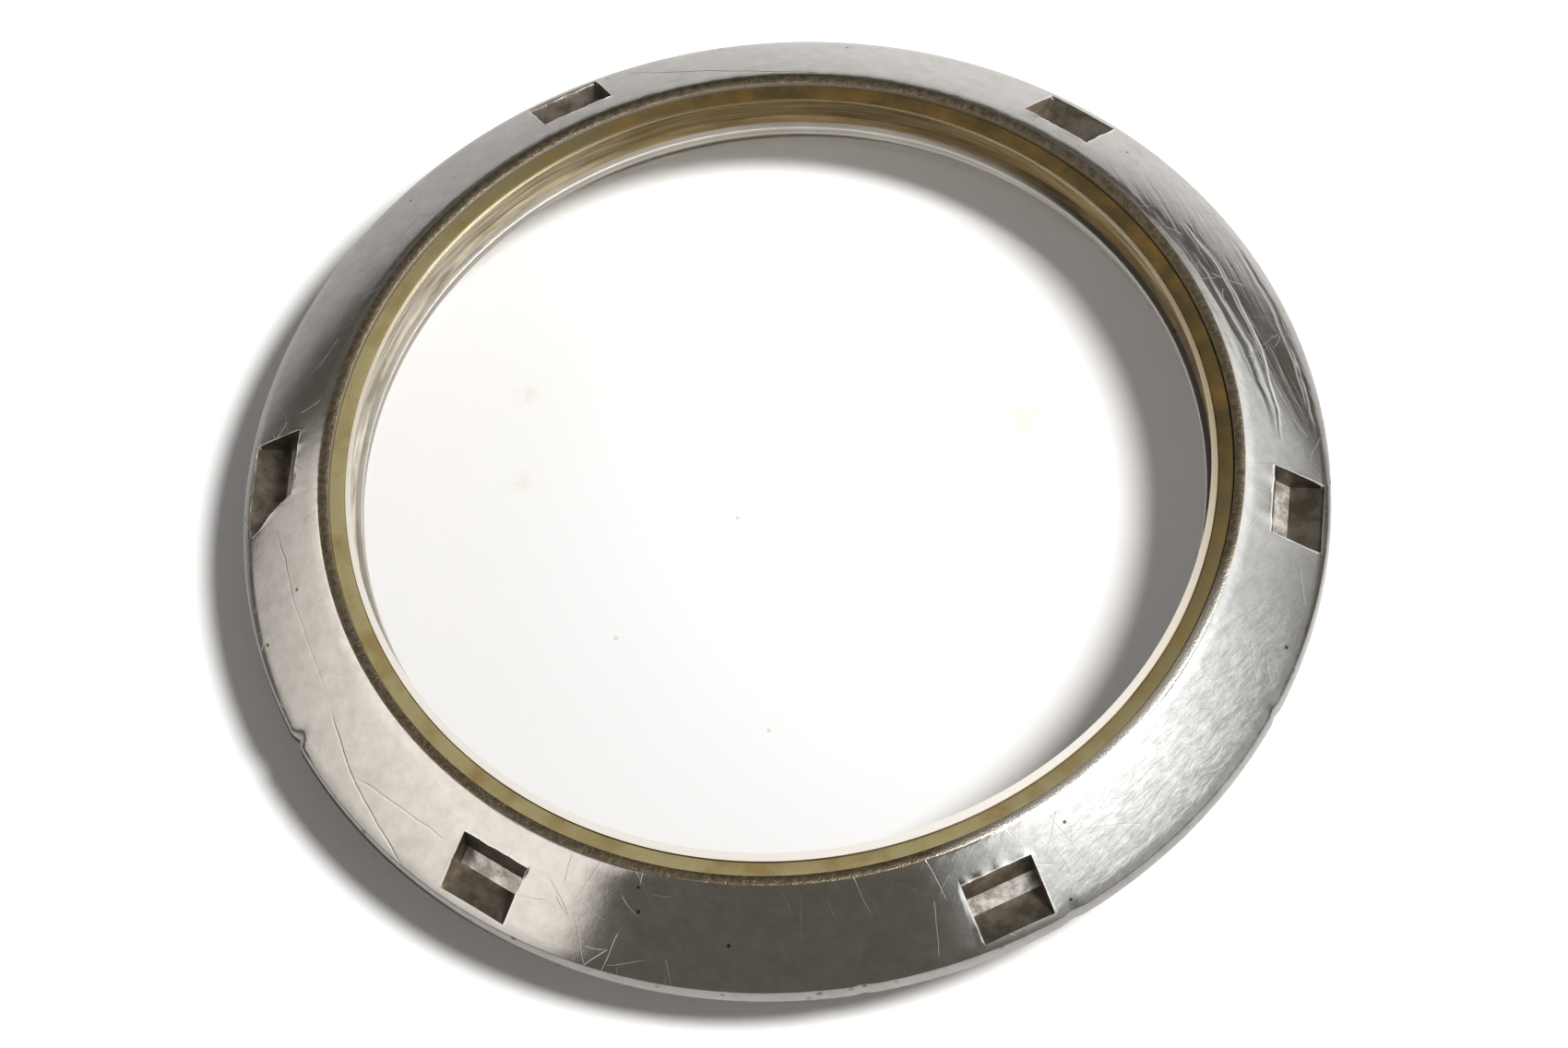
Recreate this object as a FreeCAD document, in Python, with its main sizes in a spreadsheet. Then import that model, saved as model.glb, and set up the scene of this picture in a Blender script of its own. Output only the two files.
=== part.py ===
"""Glazed screw-in ring: a bevelled steel case back with a flat crystal held in a plastic gasket.

Lengths are in millimetres. +Z is the axis of the ring and points out of the crystal.
The origin is the centre of the threaded neck's lower face, which the ring rests on.
"""

import FreeCAD, Part
import os

import Sketcher

doc = FreeCAD.newDocument("GlazedRing")

# Sizes that are set by hand. Each one can be changed by itself.
drivingSizes = (
    # steel ring
    ("OuterDiameter", 36.0, "across the rim"),
    ("RimHeight", 0.6, "upright edge of the flange, below the bevel"),
    ("RimChamfer", 0.08, "broken edges of the rim"),
    ("BevelRise", 2.28, "height of the sloping face"),
    ("BevelCrown", 0.05, "how far the sloping face bulges past a straight cone"),
    ("LandWidth", 0.35, "flat lip between the bevel and the gasket"),
    ("SeatDiameter", 29.8, "bore that the gasket is pressed into"),
    ("SeatDepth", 2.2, "from the land down to the ledge under the crystal"),
    ("LedgeWidth", 1.0, "ledge that the crystal and gasket stand on"),
    ("LedgeThickness", 0.4, "the ledge overhangs the wider bore of the neck"),
    ("NeckDiameter", 33.0, "over the crests of the thread"),
    ("NeckBoreDiameter", 31.0, "inside of the neck, under the ledge"),
    ("NeckHeight", 2.5, "from the flange's underside to the end of the neck"),
    ("NeckChamfer", 0.35, "lead-in at the end of the thread"),
    ("GrooveDiameter", 32.2, "floor of the groove that the sealing ring lies in"),
    # spanner notches
    ("NotchCount", 6, "notches round the bevel"),
    ("NotchWidth", 2.5, "across a notch, along the rim"),
    ("NotchLength", 1.6, "from a notch's inner wall to its outer wall"),
    ("NotchMargin", 0.25, "metal left outside a notch, at the rim"),
    ("NotchLift", 0.07, "height of a notch's floor above the bevel's lower edge"),
    ("NotchFootRise", 0.4, "height of the sloping foot of the inner wall"),
    ("NotchFootRun", 0.45, "how far that foot reaches over the floor"),
    # crystal and gaskets
    ("GasketWall", 0.55, "thickness of the crystal gasket"),
    ("GasketDrop", 0.14, "depth of the gasket's top below the land"),
    ("GasketChamfer", 0.08, "broken upper edges of the gasket"),
    ("GlassThickness", 2.3, "flat crystal"),
    ("GlassChamfer", 0.2, "bevelled edges of the crystal"),
    ("SealSection", 0.8, "thickness of the case sealing ring"),
    ("SealCorner", 0.23, "how much of each corner of the sealing ring's section is cut away"),
    # clearances
    ("FitGap", 0.01, "between a gasket and the piece that it is pressed against"),
    ("SealPlay", 0.1, "spare height of the groove over the sealing ring"),
)

# Radii and levels that follow from the sizes above. Levels are heights above the origin.
workedSizes = (
    ("OuterRadius", "OuterDiameter / 2"),
    ("SeatRadius", "SeatDiameter / 2"),
    ("LandRadius", "SeatRadius + LandWidth"),
    ("BoreRadius", "SeatRadius - LedgeWidth"),
    ("NeckRadius", "NeckDiameter / 2"),
    ("NeckEndRadius", "NeckRadius - NeckChamfer"),
    ("NeckBoreRadius", "NeckBoreDiameter / 2"),
    ("GrooveRadius", "GrooveDiameter / 2"),
    ("GrooveHeight", "SealSection + SealPlay"),
    ("GrooveLevel", "NeckHeight - GrooveHeight"),
    ("RimLevel", "NeckHeight + RimHeight"),
    ("LandLevel", "RimLevel + BevelRise"),
    ("BevelChord", "sqrt((OuterRadius - LandRadius)^2 + BevelRise^2)"),
    ("BevelArcRadius", "BevelChord^2 / (8 * BevelCrown) + BevelCrown / 2"),
    ("SeatLevel", "LandLevel - SeatDepth"),
    ("LedgeUnderLevel", "SeatLevel - LedgeThickness"),
    ("NotchFloorLevel", "RimLevel + NotchLift"),
    ("NotchFootLevel", "NotchFloorLevel + NotchFootRise"),
    ("NotchCutLevel", "LandLevel + NotchFootRise"),
    ("NotchOuterRadius", "OuterRadius - NotchMargin"),
    ("NotchInnerRadius", "NotchOuterRadius - NotchLength"),
    ("NotchFootRadius", "NotchInnerRadius + NotchFootRun"),
    ("GasketOuterRadius", "SeatRadius - FitGap"),
    ("GasketInnerRadius", "SeatRadius - GasketWall"),
    ("GasketHeight", "SeatDepth - GasketDrop"),
    ("GlassRadius", "GasketInnerRadius - FitGap"),
    ("SealInnerRadius", "GrooveRadius + FitGap"),
    ("SealOuterRadius", "SealInnerRadius + SealSection"),
    ("SealTopLevel", "NeckHeight - FitGap"),
    ("SealBottomLevel", "SealTopLevel - SealSection"),
)

sizes = doc.addObject("Spreadsheet::Sheet", "Sizes")
row = 1
for alias, value, note in drivingSizes:
    sizes.set("A%d" % row, alias)
    sizes.set("B%d" % row, str(value))
    sizes.set("C%d" % row, note)
    sizes.setAlias("B%d" % row, alias)
    row += 1
for alias, formula in workedSizes:
    sizes.set("A%d" % row, alias)
    sizes.set("B%d" % row, "=" + formula)
    sizes.setAlias("B%d" % row, alias)
    row += 1
doc.recompute()


def newBody(label):
    body = doc.addObject("PartDesign::Body", label)
    body.Label = label
    return body


def originPart(body, role):
    """The body's own origin plane or axis of that role, such as XZ_Plane or Z_Axis."""
    return [feature for feature in body.Origin.OriginFeatures if feature.Role == role][0]


def newSketch(body, name, plane):
    sketch = body.newObject("Sketcher::SketchObject", name)
    sketch.AttachmentSupport = [(originPart(body, plane), "")]
    sketch.MapMode = "FlatFace"
    return sketch


def tie(sketch, geometry, point, kind, alias):
    """Hold one coordinate of a point at a size of the sheet, or on the axis where alias is None."""
    if alias is None:
        axis = {"DistanceX": -2, "DistanceY": -1}[kind]
        sketch.addConstraint(Sketcher.Constraint("PointOnObject", geometry, point, axis))
        return
    rule = Sketcher.Constraint(kind, -1, 1, geometry, point, float(sizes.get(alias)))
    index = sketch.addConstraint(rule)
    sketch.setExpression("Constraints[%d]" % index, "Sizes." + alias)


def bulgingSide(start, end, radius):
    """An arc of that radius that bulges out of an outline drawn counter-clockwise."""
    along = end - start
    outward = FreeCAD.Vector(along.y, -along.x, 0)
    outward.normalize()
    bulge = radius - (radius ** 2 - (along.Length / 2) ** 2) ** 0.5
    return Part.Arc(start, start + along / 2 + outward * bulge, end)


def drawOutline(sketch, corners, arcs=()):
    """A closed outline, counter-clockwise; each corner is (alias across, alias up).

    Its sides are straight, except those in arcs: (corner that the side starts from, radius alias).
    """
    places = []
    for across, up in corners:
        x = 0.0 if across is None else float(sizes.get(across))
        y = 0.0 if up is None else float(sizes.get(up))
        places.append(FreeCAD.Vector(x, y, 0))
    radii = {corners.index(corner): alias for corner, alias in arcs}
    count = len(places)
    for number in range(count):
        start, end = places[number], places[(number + 1) % count]
        if number in radii:
            side = bulgingSide(start, end, float(sizes.get(radii[number])))
        else:
            side = Part.LineSegment(start, end)
        sketch.addGeometry(side, False)
    for number in range(count):
        after = (number + 1) % count
        sketch.addConstraint(Sketcher.Constraint("Coincident", number, 2, after, 1))
    for number, (across, up) in enumerate(corners):
        tie(sketch, number, 1, "DistanceX", across)
        tie(sketch, number, 1, "DistanceY", up)
    for number, alias in radii.items():
        rule = Sketcher.Constraint("Radius", number, float(sizes.get(alias)))
        index = sketch.addConstraint(rule)
        sketch.setExpression("Constraints[%d]" % index, "Sizes." + alias)


def turn(body, sketch, name):
    """Revolve a sketch of the XZ plane once round the body's Z axis."""
    turned = body.newObject("PartDesign::Revolution", name)
    turned.Profile = sketch
    turned.ReferenceAxis = (originPart(body, "Z_Axis"), [""])
    turned.Angle = 360
    doc.recompute()
    return turned


def circleEdges(feature, places):
    """Names of the feature's circular edges at the given (radius alias, level alias) places."""
    names = []
    for number, edge in enumerate(feature.Shape.Edges, start=1):
        if not isinstance(edge.Curve, Part.Circle):
            continue
        for radius, level in places:
            height = 0.0 if level is None else float(sizes.get(level))
            closeRadius = abs(edge.Curve.Radius - float(sizes.get(radius))) < 1e-4
            if closeRadius and abs(edge.Curve.Center.z - height) < 1e-4:
                names.append("Edge%d" % number)
    return names


def breakEdges(body, feature, name, places, alias):
    """Chamfer the feature's circular edges at those places."""
    broken = body.newObject("PartDesign::Chamfer", name)
    broken.Base = (feature, circleEdges(feature, places))
    broken.setExpression("Size", "Sizes." + alias)
    doc.recompute()
    return broken


def makeRing():
    """Steel ring turned in one piece: bevelled flange, crystal seat, ledge, neck and seal groove.

    The neck is a thin wall, wider inside than the ledge, so that the ledge overhangs its bore.
    """
    body = newBody("case_back_ring")
    sketch = newSketch(body, "RingSection", "XZ_Plane")
    drawOutline(sketch, (
        ("NeckBoreRadius", None),
        ("NeckEndRadius", None),
        ("NeckRadius", "NeckChamfer"),
        ("NeckRadius", "GrooveLevel"),
        ("GrooveRadius", "GrooveLevel"),
        ("GrooveRadius", "NeckHeight"),
        ("OuterRadius", "NeckHeight"),
        ("OuterRadius", "RimLevel"),
        ("LandRadius", "LandLevel"),
        ("SeatRadius", "LandLevel"),
        ("SeatRadius", "SeatLevel"),
        ("BoreRadius", "SeatLevel"),
        ("BoreRadius", "LedgeUnderLevel"),
        ("NeckBoreRadius", "LedgeUnderLevel"),
    ), arcs=((("OuterRadius", "RimLevel"), "BevelArcRadius"),))
    blank = turn(body, sketch, "RingBlank")
    rim = breakEdges(body, blank, "RimEdges",
                     (("OuterRadius", "NeckHeight"), ("OuterRadius", "RimLevel")), "RimChamfer")
    uncutVolume = rim.Shape.Volume
    cutNotches(body)
    doc.recompute()
    print("metal cut out by the notches: %.2f mm3" % (uncutVolume - body.Shape.Volume))
    return body


def cutNotches(body):
    """One spanner notch, cut across the X axis, and its copies round the Z axis.

    The floor is flat, and the inner wall ends in a steep sloping foot. The floor lies just
    above the bevel's lower edge, so a thin lip is left standing outside it.
    """
    sketch = newSketch(body, "NotchSection", "XZ_Plane")
    drawOutline(sketch, (
        ("NotchFootRadius", "NotchFloorLevel"),
        ("NotchOuterRadius", "NotchFloorLevel"),
        ("NotchOuterRadius", "NotchCutLevel"),
        ("NotchInnerRadius", "NotchCutLevel"),
        ("NotchInnerRadius", "NotchFootLevel"),
    ))
    notch = body.newObject("PartDesign::Pocket", "Notch")
    notch.Profile = sketch
    notch.Type = 0
    notch.Midplane = True
    notch.setExpression("Length", "Sizes.NotchWidth")
    doc.recompute()
    notches = body.newObject("PartDesign::PolarPattern", "Notches")
    notches.Originals = [notch]
    notches.Axis = (originPart(body, "Z_Axis"), [""])
    notches.Angle = 360
    notches.setExpression("Occurrences", "Sizes.NotchCount")
    body.Tip = notches


def makeCrystal():
    """Flat crystal with both edges bevelled; it stands on the ledge, a little above the land."""
    body = newBody("crystal")
    sketch = newSketch(body, "CrystalOutline", "XY_Plane")
    circle = sketch.addGeometry(
        Part.Circle(FreeCAD.Vector(0, 0, 0), FreeCAD.Vector(0, 0, 1), float(sizes.get("GlassRadius"))),
        False)
    sketch.addConstraint(Sketcher.Constraint("Coincident", circle, 3, -1, 1))
    index = sketch.addConstraint(
        Sketcher.Constraint("Radius", circle, float(sizes.get("GlassRadius"))))
    sketch.setExpression("Constraints[%d]" % index, "Sizes.GlassRadius")
    disc = body.newObject("PartDesign::Pad", "CrystalDisc")
    disc.Profile = sketch
    disc.setExpression("Length", "Sizes.GlassThickness")
    doc.recompute()
    breakEdges(body, disc, "CrystalEdges",
               (("GlassRadius", None), ("GlassRadius", "GlassThickness")), "GlassChamfer")
    body.setExpression("Placement.Base.z", "Sizes.SeatLevel")
    return body


def makeCrystalGasket():
    """Plastic ring pressed between the crystal's edge and the ring's seat."""
    body = newBody("crystal_gasket")
    sketch = newSketch(body, "GasketSection", "XZ_Plane")
    drawOutline(sketch, (
        ("GasketInnerRadius", None),
        ("GasketOuterRadius", None),
        ("GasketOuterRadius", "GasketHeight"),
        ("GasketInnerRadius", "GasketHeight"),
    ))
    blank = turn(body, sketch, "GasketBlank")
    breakEdges(body, blank, "GasketTop",
               (("GasketOuterRadius", "GasketHeight"), ("GasketInnerRadius", "GasketHeight")),
               "GasketChamfer")
    body.setExpression("Placement.Base.z", "Sizes.SeatLevel")
    return body


def makeSealRing():
    """Rubber ring with cut corners, in the groove between the neck's thread and the flange."""
    body = newBody("case_seal_ring")
    corners = (
        ("SealInnerRadius", "SealBottomLevel"),
        ("SealOuterRadius", "SealBottomLevel"),
        ("SealOuterRadius", "SealTopLevel"),
        ("SealInnerRadius", "SealTopLevel"),
    )
    sketch = newSketch(body, "SealSectionOutline", "XZ_Plane")
    drawOutline(sketch, corners)
    blank = turn(body, sketch, "SealBlank")
    breakEdges(body, blank, "SealCorners", corners, "SealCorner")
    return body


pieces = (makeRing(), makeCrystalGasket(), makeCrystal(), makeSealRing())
doc.recompute()

for thing in doc.Objects:
    if "Invalid" in thing.State or "Error" in thing.State:
        raise RuntimeError("%s failed: %s" % (thing.Label, thing.State))
for piece in pieces:
    if piece.Shape.isNull() or not piece.Shape.isValid():
        raise RuntimeError("%s has no valid shape" % piece.Label)
    if len(piece.Shape.Solids) != 1:
        raise RuntimeError("%s is not one solid" % piece.Label)

os.makedirs("parts", exist_ok=True)
for piece in pieces:
    piece.Shape.exportStep("parts/%s.step" % piece.Label)
    box = piece.Shape.optimalBoundingBox()
    print("%-16s %8.2f mm3   x %.2f..%.2f   z %.2f..%.2f" % (
        piece.Label, piece.Shape.Volume, box.XMin, box.XMax, box.ZMin, box.ZMax))
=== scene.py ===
import math

import bmesh
import bpy
from mathutils import Matrix, Vector, noise


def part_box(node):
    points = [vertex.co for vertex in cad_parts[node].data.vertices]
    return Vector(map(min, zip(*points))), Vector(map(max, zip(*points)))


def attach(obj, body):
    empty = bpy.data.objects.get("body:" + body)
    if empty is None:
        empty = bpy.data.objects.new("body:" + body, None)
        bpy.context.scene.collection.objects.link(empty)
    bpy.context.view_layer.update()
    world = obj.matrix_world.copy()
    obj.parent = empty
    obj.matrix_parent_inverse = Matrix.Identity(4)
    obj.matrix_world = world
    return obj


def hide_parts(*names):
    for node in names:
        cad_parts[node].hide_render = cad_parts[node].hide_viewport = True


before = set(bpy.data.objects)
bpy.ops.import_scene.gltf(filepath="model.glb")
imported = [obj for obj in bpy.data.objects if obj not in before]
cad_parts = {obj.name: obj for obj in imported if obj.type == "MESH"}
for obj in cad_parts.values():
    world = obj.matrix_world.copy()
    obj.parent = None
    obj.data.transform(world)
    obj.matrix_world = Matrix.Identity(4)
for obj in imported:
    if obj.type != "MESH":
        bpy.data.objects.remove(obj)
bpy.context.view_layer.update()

mm = 0.001               # sizes below are in millimetres, Blender works in metres
zAxis = Vector((0, 0, 1))


def linearColour(code):
    # an sRGB hex colour such as "#c9c5bf" as linear values
    parts = [int(code[place:place + 2], 16) / 255 for place in (1, 3, 5)]
    linear = [part / 12.92 if part <= 0.04045 else ((part + 0.055) / 1.055) ** 2.4 for part in parts]
    return (*linear, 1)


def addNode(tree, kind, settings=None, inputs=None):
    # settings are the node's own properties; inputs, by name or number, are values, hex
    # colours or sockets
    node = tree.nodes.new(kind)
    for name, value in (settings or {}).items():
        setattr(node, name, value)
    for name, value in (inputs or {}).items():
        if isinstance(value, bpy.types.NodeSocket):
            tree.links.new(value, node.inputs[name])
        else:
            node.inputs[name].default_value = linearColour(value) if isinstance(value, str) else value
    return node


# node settings that come up often
smooth = {"interpolation_type": "SMOOTHSTEP"}
colourMix = {"data_type": "RGBA"}
multiply = {"operation": "MULTIPLY"}
multiplyAdd = {"operation": "MULTIPLY_ADD"}
dotProduct = {"operation": "DOT_PRODUCT"}


def setRamp(node, stops):
    # stops are (position, hex colour, linear colour or grey)
    elements = node.color_ramp.elements
    while len(elements) < len(stops):
        elements.new(1)
    for element, (place, colour) in zip(elements, stops):
        if isinstance(colour, str):
            colour = linearColour(colour)
        element.position = place
        element.color = colour if isinstance(colour, tuple) else (colour, colour, colour, 1)


def addObject(name, data):
    added = bpy.data.objects.new(name, data)
    bpy.context.scene.collection.objects.link(added)
    return added


def newMaterial(name):
    material = bpy.data.materials.new(name)
    material.use_nodes = True
    tree = material.node_tree
    tree.nodes.clear()
    return material, tree


def inMillimetres(tree):
    place = addNode(tree, "ShaderNodeTexCoord").outputs["Object"]
    return addNode(tree, "ShaderNodeVectorMath", {"operation": "SCALE"},
                   {0: place, "Scale": 1 / mm}).outputs[0]


camera = {
    "from": (29.425, -136.096, 248.754),
    "at": (0.289, -1.968, 5.24),
    "roll": -8.58,       # degrees about the line of sight
    "lens": 196.4,       # mm, as the sensor's width below
    "sensor": 36,
    "clipStart": 0.01,   # metres
}


def makeCamera():
    data = bpy.data.cameras.new("camera")
    data.lens = camera["lens"]
    data.sensor_width = camera["sensor"]
    data.clip_start = camera["clipStart"]
    seen = addObject("camera", data)
    place = Vector(camera["from"]) * mm
    aim = (Vector(camera["at"]) * mm - place).to_track_quat("-Z", "Y").to_matrix().to_4x4()
    roll = Matrix.Rotation(math.radians(camera["roll"]), 4, "Z")
    seen.matrix_world = Matrix.Translation(place) @ aim @ roll
    bpy.context.scene.camera = seen


makeCamera()
bpy.context.scene.view_settings.view_transform = "Standard"
print("camera set")


studio = {
    "keyAzimuth": -13,     # degrees, from +X towards +Y
    "keyElevation": 59.5,
    "keyDistance": 2.0,    # metres
    "keySize": 0.5,        # metres, gives the width of the shadow's soft edge
    "keyPower": 37,
    "keyColour": "#fffefd",
    "fill": (0.162, 0.157, 0.154),   # the room, as matt surfaces see it
    "floorHalf": 3,        # metres from the middle to the edge of the table
    "floorGain": 0.35,     # extra white for rays that go straight to the table
    "whiteCentre": (10, 15, 0),      # where the table is brightest in the steel's reflections
    "whiteShape": (1, 0.7, 0),       # it reaches further along Y
    "whiteNear": 10,
    "whiteFar": 70,
}


def direction(azimuth, elevation):
    flat = math.cos(math.radians(elevation))
    turnAngle = math.radians(azimuth)
    return Vector((flat * math.cos(turnAngle), flat * math.sin(turnAngle), math.sin(math.radians(elevation))))


def makeKey():
    data = bpy.data.lights.new("key", "AREA")
    data.shape = "DISK"
    data.size = studio["keySize"]
    data.energy = studio["keyPower"]
    data.color = linearColour(studio["keyColour"])[:3]
    key = addObject("key", data)
    towards = direction(studio["keyAzimuth"], studio["keyElevation"])
    turned = (-towards).to_track_quat("-Z", "Y").to_matrix().to_4x4()
    key.matrix_world = Matrix.Translation(towards * studio["keyDistance"]) @ turned


room = {
    "dark": (0.134, 0.127, 0.11),    # all that the screens leave
    "leftAzimuth": 192,      # middle of the tall bright screen on the left, in degrees
    "leftHalf": (38, 47),
    "leftLight": (0.4, 1.16),        # at the horizon, and 30 degrees up
    "leftColour": (1.0, 0.955, 0.92),
    "rightAzimuth": 7,       # the wide bright screen round the key lamp
    "rightHalf": (22, 70),
    "rightTilt": (150.8, 57),        # its lower edge lies square to this direction
    "rightLight": (0.41, 2.25),
    "rightFade": (110, -0.5, -0.02, 0.55),   # it is dimmer towards this azimuth
    "rightColour": (0.97, 1.01, 1.04),
}


def sideMask(tree, flat, azimuth, half):
    # 1 within half of that azimuth, 0 beyond; half is (full, ended) in degrees
    aimed = addNode(tree, "ShaderNodeVectorMath", dotProduct, {0: flat, 1: direction(azimuth, 0)})
    return addNode(tree, "ShaderNodeMapRange", smooth,
                   {0: aimed.outputs["Value"], 1: math.cos(math.radians(half[1])),
                    2: math.cos(math.radians(half[0]))}).outputs[0]


def straightRay(tree, rays):
    # 1 for a ray from the camera, also through glass, that has met nothing matt on its way
    matt = addNode(tree, "ShaderNodeMath", {"operation": "GREATER_THAN"},
                   {0: rays.outputs["Diffuse Depth"], 1: 0.5})
    through = addNode(tree, "ShaderNodeMath", {"operation": "SUBTRACT", "use_clamp": True},
                      {0: rays.outputs["Is Transmission Ray"], 1: matt.outputs[0]})
    return addNode(tree, "ShaderNodeMath", {"operation": "MAXIMUM"},
                   {0: rays.outputs["Is Camera Ray"], 1: through.outputs[0]}).outputs[0]


def makeRoom():
    world = bpy.data.worlds.new("room")
    world.use_nodes = True
    tree = world.node_tree
    tree.nodes.clear()
    bpy.context.scene.world = world
    ray = addNode(tree, "ShaderNodeTexCoord").outputs["Generated"]
    height = addNode(tree, "ShaderNodeSeparateXYZ", inputs={0: ray}).outputs["Z"]
    level = addNode(tree, "ShaderNodeVectorMath", multiply, {0: ray, 1: (1, 1, 0)})
    flat = addNode(tree, "ShaderNodeVectorMath", {"operation": "NORMALIZE"}, {0: level.outputs[0]}).outputs[0]
    top = addNode(tree, "ShaderNodeMapRange", smooth, {0: height, 1: 0.72, 2: 0.92, 3: 1.0, 4: 0.0})
    # left screen, brighter higher up
    leftRise = addNode(tree, "ShaderNodeMapRange", inputs={
        0: height, 1: 0.0, 2: 0.5, 3: room["leftLight"][0], 4: room["leftLight"][1]})
    left = addNode(tree, "ShaderNodeMath", multiply, {
        0: sideMask(tree, flat, room["leftAzimuth"], room["leftHalf"]), 1: leftRise.outputs[0]})
    # right screen, over a dark band at the horizon
    tilt = addNode(tree, "ShaderNodeVectorMath", dotProduct, {0: ray, 1: direction(*room["rightTilt"])})
    rightRise = addNode(tree, "ShaderNodeMapRange", inputs={
        0: tilt.outputs["Value"], 1: -0.2, 2: 0.1, 3: room["rightLight"][0], 4: room["rightLight"][1]})
    horizon = addNode(tree, "ShaderNodeMapRange", smooth, {0: height, 1: 0.03, 2: 0.14})
    right = addNode(tree, "ShaderNodeMath", multiply, {
        0: sideMask(tree, flat, room["rightAzimuth"], room["rightHalf"]), 1: rightRise.outputs[0]})
    backAzimuth, fadeStart, fadeEnd, fadeTo = room["rightFade"]
    back = addNode(tree, "ShaderNodeVectorMath", dotProduct, {0: flat, 1: direction(backAzimuth, 0)})
    fade = addNode(tree, "ShaderNodeMapRange", inputs={
        0: back.outputs["Value"], 1: fadeStart, 2: fadeEnd, 3: 1.0, 4: fadeTo})
    rightFaded = addNode(tree, "ShaderNodeMath", multiply, {0: right.outputs[0], 1: fade.outputs[0]})
    rightOver = addNode(tree, "ShaderNodeMath", multiply,
                        {0: rightFaded.outputs[0], 1: horizon.outputs[0]})
    mirrored = Vector(room["dark"])
    for light, colour in ((left, room["leftColour"]), (rightOver, room["rightColour"])):
        faded = addNode(tree, "ShaderNodeMath", multiply, {0: light.outputs[0], 1: top.outputs[0]})
        tinted = addNode(tree, "ShaderNodeVectorMath", {"operation": "SCALE"},
                         {0: colour, "Scale": faded.outputs[0]})
        mirrored = addNode(tree, "ShaderNodeVectorMath", {"operation": "ADD"},
                           {0: mirrored, 1: tinted.outputs[0]}).outputs[0]
    rays = addNode(tree, "ShaderNodeLightPath")
    lit = addNode(tree, "ShaderNodeMix", {"data_type": "VECTOR"},
                  {0: rays.outputs["Is Glossy Ray"], 4: Vector(studio["fill"]), 5: mirrored})
    straight = straightRay(tree, rays)
    shown = addNode(tree, "ShaderNodeMix", {"data_type": "VECTOR"},
                    {0: straight, 4: lit.outputs[1], 5: Vector((1, 1, 1))})
    background = addNode(tree, "ShaderNodeBackground", inputs={0: shown.outputs[1]})
    addNode(tree, "ShaderNodeOutputWorld", inputs={0: background.outputs[0]})


def makeFloor():
    bm = bmesh.new()
    bmesh.ops.create_grid(bm, x_segments=1, y_segments=1, size=studio["floorHalf"])
    mesh = bpy.data.meshes.new("floor")
    bm.to_mesh(mesh)
    bm.free()
    floor = addObject("floor", mesh)
    material, tree = newMaterial("matt white table")
    offset = addNode(tree, "ShaderNodeVectorMath", {"operation": "SUBTRACT"},
                     {0: inMillimetres(tree), 1: studio["whiteCentre"]})
    shaped = addNode(tree, "ShaderNodeVectorMath", multiply,
                     {0: offset.outputs[0], 1: studio["whiteShape"]})
    away = addNode(tree, "ShaderNodeVectorMath", {"operation": "LENGTH"}, {0: shaped.outputs[0]})
    rays = addNode(tree, "ShaderNodeLightPath")
    # for the steel's reflections the table's colour is painted light: white near the ring, falling off to the
    # dark room beyond
    far = addNode(tree, "ShaderNodeMapRange", inputs={
        0: away.outputs["Value"], 1: studio["whiteNear"], 2: studio["whiteFar"]})
    fall = addNode(tree, "ShaderNodeValToRGB", inputs={0: far.outputs[0]})
    setRamp(fall, ((0.0, 0.95), (0.17, 0.71), (0.3, 0.565), (0.43, 0.52), (0.57, 0.395), (0.7, 0.25),
                   (0.83, (0.165, 0.16, 0.15, 1)), (1.0, (0.12, 0.113, 0.102, 1))))
    colour = addNode(tree, "ShaderNodeMix", colourMix,
                     {0: rays.outputs["Is Glossy Ray"], 6: "#f6f6f5", 7: fall.outputs[0]})
    gain = addNode(tree, "ShaderNodeMath", multiply, {0: straightRay(tree, rays), 1: studio["floorGain"]})
    more = addNode(tree, "ShaderNodeCombineColor", inputs={
        0: gain.outputs[0], 1: gain.outputs[0], 2: gain.outputs[0]})
    matt = addNode(tree, "ShaderNodeBsdfDiffuse", inputs={0: colour.outputs[2]})
    extra = addNode(tree, "ShaderNodeBsdfDiffuse", inputs={0: more.outputs[0]})
    both = addNode(tree, "ShaderNodeAddShader", inputs={0: matt.outputs[0], 1: extra.outputs[0]})
    addNode(tree, "ShaderNodeOutputMaterial", inputs={0: both.outputs[0]})
    mesh.materials.append(material)


makeKey()
makeRoom()
makeFloor()
print("studio set")


def turnSection(bm, section, start, sweep, steps, closed):
    # spins a closed outline of (radius, height) corners round the Z axis
    verts = [bm.verts.new((radius * mm, 0, height * mm)) for radius, height in section]
    edges = [bm.edges.new((vert, verts[(number + 1) % len(verts)])) for number, vert in enumerate(verts)]
    bmesh.ops.rotate(bm, verts=verts, cent=(0, 0, 0), matrix=Matrix.Rotation(math.radians(start), 3, "Z"))
    bmesh.ops.spin(bm, geom=verts + edges, cent=(0, 0, 0), axis=zAxis,
                   angle=math.radians(sweep), steps=steps, use_merge=closed)


def circleEdges(bm, radius, height):
    # edges that run round the axis at that radius and height
    found = []
    for edge in bm.edges:
        if all(abs(vert.co.xy.length / mm - radius) < 0.004 and abs(vert.co.z / mm - height) < 0.004
               for vert in edge.verts):
            found.append(edge)
    return found


def roundEdges(bm, edges, width, segments=2):
    return bmesh.ops.bevel(bm, geom=edges, offset=width * mm, offset_type="OFFSET", segments=segments,
                           profile=0.5, affect="EDGES", clamp_overlap=True, material=-1)


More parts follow.
